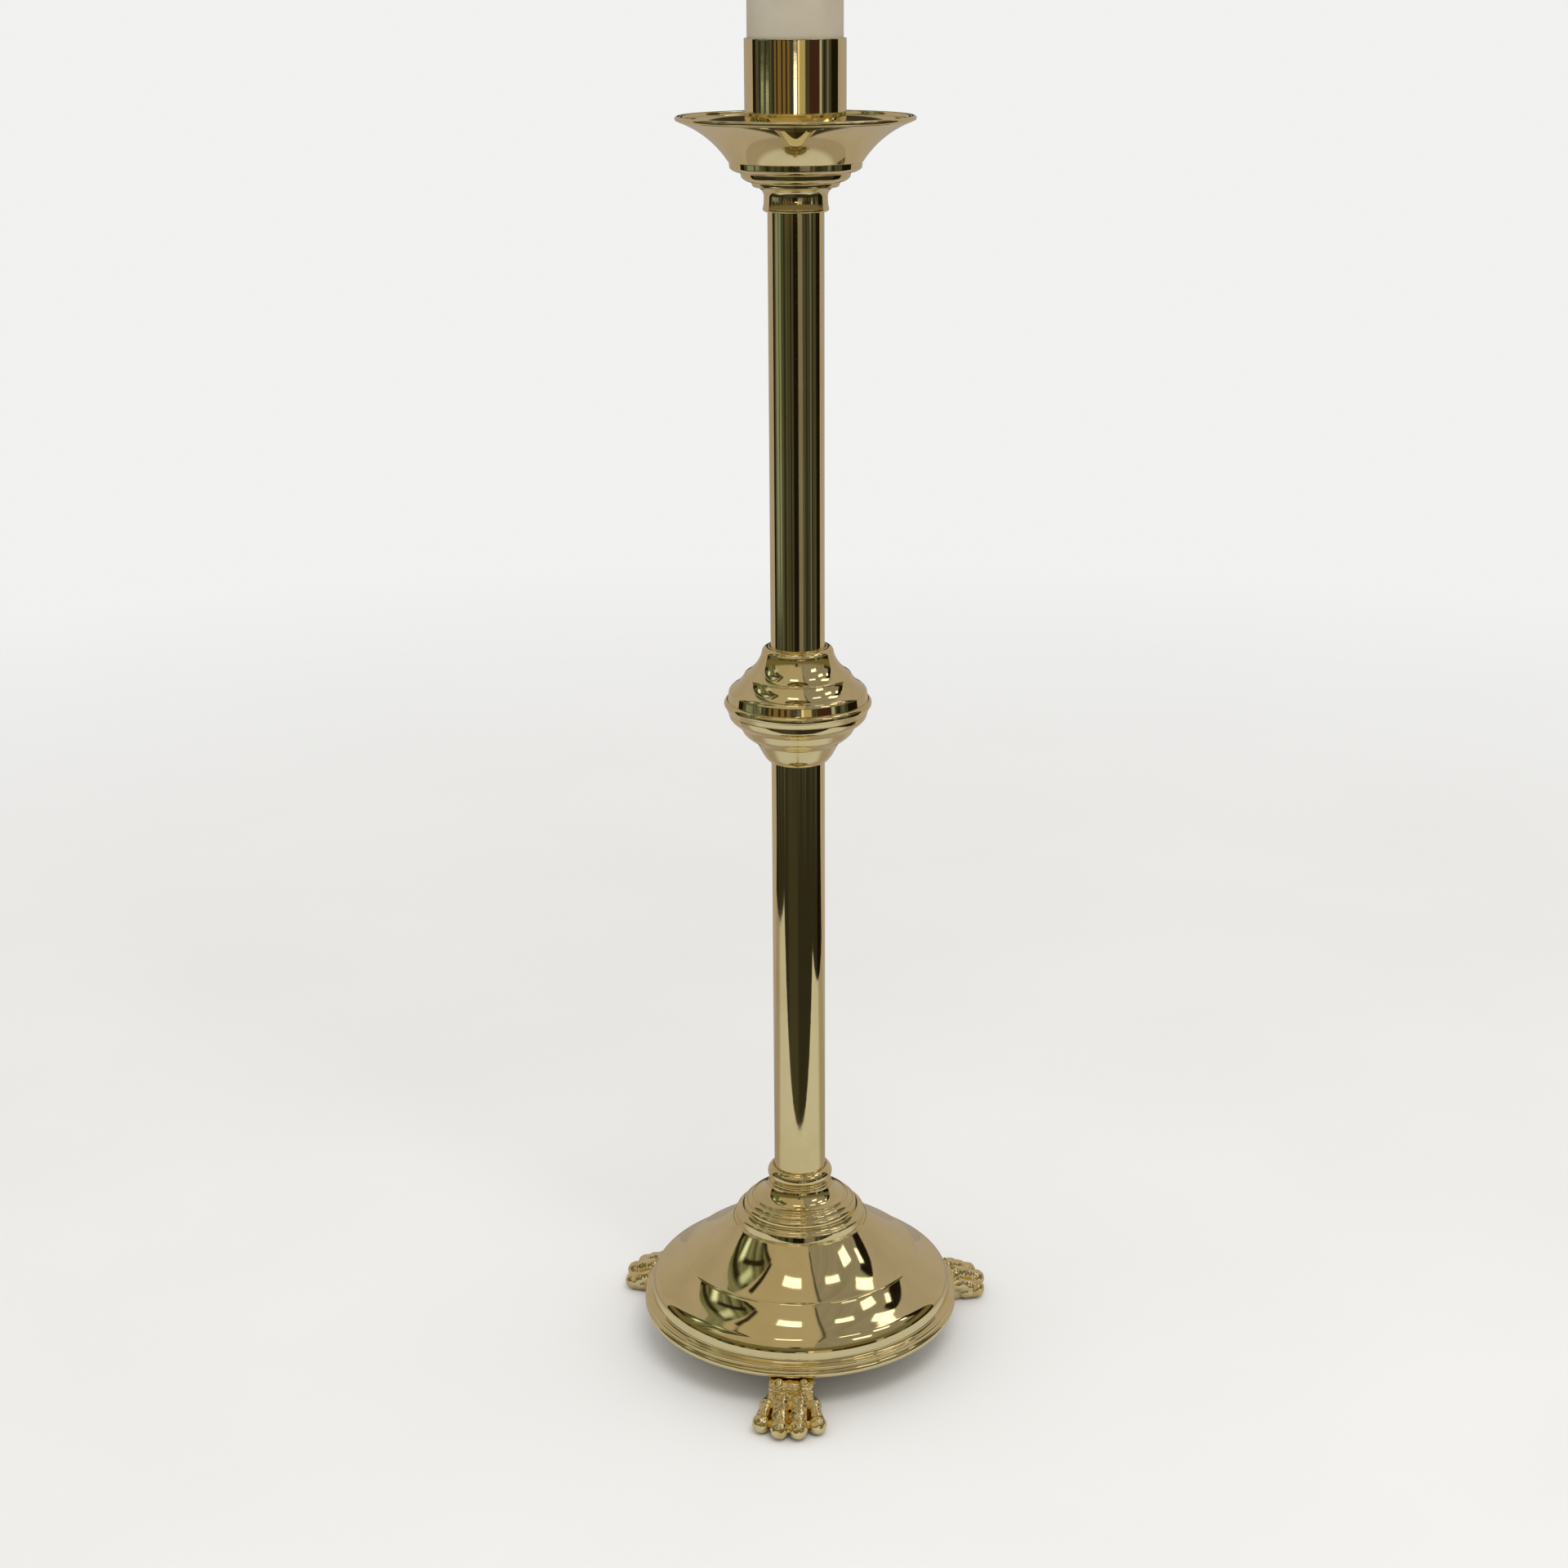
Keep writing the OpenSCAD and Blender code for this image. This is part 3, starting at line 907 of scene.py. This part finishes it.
class Studio(Nodes):
    """What the brass mirrors: a world painted by direction. az is the angle round from the camera's
    side, plus to its right, and down is the angle from straight overhead, both in degrees. across
    and front are the same direction on a flat map that has straight overhead at its middle."""

    def __init__(self):
        world = bpy.data.worlds.new("studio")
        bpy.context.scene.world = world
        world.use_nodes = True
        self.tree = world.node_tree
        self.tree.nodes.clear()
        self.out = self.node("ShaderNodeOutputWorld")
        self.shader = self.node("ShaderNodeBackground")
        self.link(self.shader.outputs[0], self.out.inputs["Surface"])
        turned = self.node("ShaderNodeVectorRotate", rotation_type="Z_AXIS")
        self.link(self.node("ShaderNodeTexCoord").outputs["Generated"], turned.inputs["Vector"])
        turned.inputs["Angle"].default_value = -TURN
        split = self.node("ShaderNodeSeparateXYZ")
        self.link(turned.outputs[0], split.inputs[0])
        x, y, z = split.outputs
        round_ = self.maths("ARCTAN2", x, self.maths("MULTIPLY", y, -1.0))
        over = self.maths("ARCCOSINE", z)
        self.az = self.maths("DEGREES", round_)
        self.down = self.maths("DEGREES", over)
        self.across = self.maths("MULTIPLY", self.down, self.maths("SINE", round_))
        self.front = self.maths("MULTIPLY", self.down, self.maths("COSINE", round_))

    def step(self, value, at, soft, falls=False):
        made = self.node("ShaderNodeMapRange", interpolation_type="SMOOTHSTEP")
        self.link(value, made.inputs["Value"])
        made.inputs["From Min"].default_value = at - soft / 2
        made.inputs["From Max"].default_value = at + soft / 2
        made.inputs["To Min"].default_value = 1.0 if falls else 0.0
        made.inputs["To Max"].default_value = 0.0 if falls else 1.0
        return made.outputs["Result"]

    def window(self, value, low, high, soft):
        return self.maths(
            "MULTIPLY", self.step(value, low, soft), self.step(value, high, soft, True)
        )

    def streaks(self, fineness, *stops):
        """Upright streaks of colour, as of shelves and curtains in a dark room."""
        at = self.node("ShaderNodeCombineXYZ")
        self.link(self.maths("MULTIPLY", self.az, fineness), at.inputs[0])
        self.link(self.maths("MULTIPLY", self.down, fineness * 0.10), at.inputs[1])
        return self.ramp(self.noise(at.outputs[0], 1.0, 3.0, 0.6), *stops)

    def strip(self, under, az, down, colour, soft=1.5):
        """An upright strip between two bearings, from one height to another."""
        mask = self.maths(
            "MULTIPLY",
            self.window(self.az, *az, soft),
            self.window(self.down, *down, soft * 2),
        )
        return self.mix(mask, under, colour)

    def panel(self, under, middle, size, turn, colour, soft=1.2):
        """A rectangle on the overhead map."""
        c, s = math.cos(math.radians(turn)), math.sin(math.radians(turn))
        x = self.maths("SUBTRACT", self.across, middle[0])
        y = self.maths("SUBTRACT", self.front, middle[1])
        u = self.maths("ADD", self.maths("MULTIPLY", x, c), self.maths("MULTIPLY", y, s))
        v = self.maths("SUBTRACT", self.maths("MULTIPLY", y, c), self.maths("MULTIPLY", x, s))
        mask = self.maths(
            "MULTIPLY",
            self.step(self.maths("ABSOLUTE", u), size[0] / 2, soft, True),
            self.step(self.maths("ABSOLUTE", v), size[1] / 2, soft, True),
        )
        return self.mix(mask, under, colour)


studio = Studio()
LAMP = (1.9, 1.85, 1.75)
# the dark room behind the camera, streaked, with paler green up on the left and grey on the right
room = studio.streaks(
    0.11,
    (0.30, (0.006, 0.005, 0.003)),
    (0.44, (0.030, 0.031, 0.020)),
    (0.56, (0.080, 0.078, 0.052)),
    (0.72, (0.180, 0.185, 0.140)),
)
green = studio.streaks(0.16, (0.35, (0.040, 0.036, 0.015)), (0.65, (0.26, 0.27, 0.17)))
grey = studio.streaks(0.12, (0.30, (0.25, 0.225, 0.19)), (0.70, (0.32, 0.29, 0.26)))
left = studio.maths(
    "MULTIPLY",
    studio.step(studio.down, 80, 14, True),
    studio.step(studio.across, -10, 4, True),
)
low_left = studio.maths(
    "MULTIPLY",
    studio.maths("MULTIPLY", left, studio.step(studio.down, 66, 6, True)),
    studio.step(studio.front, 15, 3),
)
right = studio.maths(
    "MULTIPLY",
    studio.step(studio.down, 82, 14, True),
    studio.step(studio.across, 0, 4),
)
room = studio.mix(left, room, green)
room = studio.mix(right, room, grey)
room = studio.mix(low_left, room, (0.42, 0.36, 0.26))
# dark edges of the room, where it meets the backdrop and the ceiling
for az, down, colour in (
    ((-115, -101), (60, 125), (0.012, 0.010, 0.005)),
    ((88, 115), (62, 125), (0.010, 0.007, 0.003)),
    ((102, 115), (40, 64), (0.010, 0.007, 0.003)),
):
    room = studio.strip(room, az, down, colour)
for middle, size, turn in (
    ((-40, -12), (40, 3.4), 28),
    ((-46, 14.5), (44, 3), 2),
    ((-38, 2), (3, 22), -35),
):
    room = studio.panel(room, middle, size, turn, SHADOW_LINE, 1.6)
# the plain ceiling that runs away over the camera, with its dark joints, and the lamps in it
room = studio.panel(room, (-9, 22), (36, 74), -3, CEILING, 1.6)
room = studio.panel(room, (-25.5, 5), (2.6, 21), 4, SHADOW_LINE, 1.4)
room = studio.panel(room, (9.5, 12), (1.2, 34), -3, (0.060, 0.045, 0.020), 1.0)
room = studio.strip(room, (-180, 180), (68, 84), (0.17, 0.14, 0.06), 5)
for middle, size, turn in (
    ((-5.5, 12.5), (12, 6), 0),
    ((21.5, 7.5), (10, 4), -28),
    ((40, 5), (10, 8), -35),
    ((33, -12), (6, 13), 20),
    ((47, -10), (7, 4), 20),
    ((40, 30), (14, 9), -30),
):
    room = studio.panel(room, middle, size, turn, LAMP)
# daylight that comes in softly on the left
for middle, size, turn, colour, soft in (
    ((-50, -8), (10, 5), -15, (0.9, 1.0, 0.85), 4),
    ((-34, -4), (5, 9), 10, (0.6, 0.66, 0.5), 4),
    ((-50, 15), (8, 12), 0, (0.5, 0.55, 0.4), 5),
):
    room = studio.panel(room, middle, size, turn, colour, soft)
# low down the room is evenly dark, as the lower tube mirrors it
room = studio.strip(room, (-99, 88), (108, 180), (0.030, 0.027, 0.017), 3)
room = studio.strip(room, (-46, -4), (108, 180), (0.056, 0.050, 0.031), 8)
# upright strips that the stem mirrors
for az, down, colour in (
    ((-93, -66), (94, 104), (0.24, 0.28, 0.22)),
    ((-78, -75), (94, 104), (0.02, 0.02, 0.01)),
    ((-12, 6), (94, 106), (0.010, 0.007, 0.003)),
    ((8, 25), (94, 106), (0.22, 0.20, 0.18)),
    ((58, 64), (94, 106), (0.15, 0.15, 0.14)),
):
    room = studio.strip(room, az, down, colour)
# and those nearer the horizon, with small bright lights, that the socket mirrors
for az, down, colour, soft in (
    ((-48, -13), (88, 94.5), (0.20, 0.13, 0.05), 1.5),
    ((-44, -40), (88, 94.5), (0.03, 0.02, 0.01), 1.5),
    ((-32, -28), (88, 94.5), (0.03, 0.02, 0.01), 1.5),
    ((-22, -18), (88, 94.5), (0.03, 0.02, 0.01), 1.5),
    ((5.5, 9.5), (86, 94.5), (1.00, 0.78, 0.55), 1),
    ((9.5, 22), (86, 94.5), (0.46, 0.38, 0.20), 1.5),
    ((31, 55), (86, 94.5), (0.05, 0.02, 0.015), 1.5),
    ((56, 62), (86, 94.5), (0.42, 0.41, 0.37), 1.5),
    ((76, 81), (86, 94.5), (0.15, 0.15, 0.14), 1.5),
    ((-3.6, 3.4), (91.9, 93.2), (2.8, 2.7, 2.5), 0.4),
    ((-84, -76), (92.1, 92.8), (0.45, 0.50, 0.38), 0.3),
    ((-70, -62), (92.3, 92.9), (0.60, 0.66, 0.52), 0.3),
):
    room = studio.strip(room, az, down, colour, soft)
# lamps that only show from behind
for middle, size, turn in (
    ((-14, -34), (12, 5), 20),
    ((16, -32), (9, 5), -25),
    ((0, -50), (16, 4), 0),
):
    room = studio.panel(room, middle, size, turn, LAMP)

path = studio.node("ShaderNodeLightPath")
soft_light = (0.90, 0.89, 0.87)
seen = studio.mix(path.outputs["Is Glossy Ray"], soft_light, room)
seen = studio.mix(path.outputs["Is Camera Ray"], seen, PAPER_WHITE)
studio.link(seen, studio.shader.inputs["Color"])
studio.shader.inputs["Strength"].default_value = 1.0


def softbox(name, size, place, aim, strength):
    """A large area light that lights the matt things and isn't mirrored itself."""
    lamp = bpy.data.lights.new(name, "AREA")
    lamp.shape = "RECTANGLE"
    lamp.size, lamp.size_y = size
    lamp.color = (1.0, 0.975, 0.94)
    lamp.energy = strength
    obj = bpy.data.objects.new(name, lamp)
    obj.location = place
    obj.rotation_euler = (Vector(aim) - Vector(place)).to_track_quat("-Z", "Y").to_euler()
    obj.visible_camera = False
    obj.visible_glossy = False
    bpy.context.scene.collection.objects.link(obj)


softbox("key", size=(1.4, 0.9), place=(0.5, -1.3, 2.6), aim=(0, 0, 0.5), strength=22)

bpy.context.scene.view_settings.view_transform = "Standard"
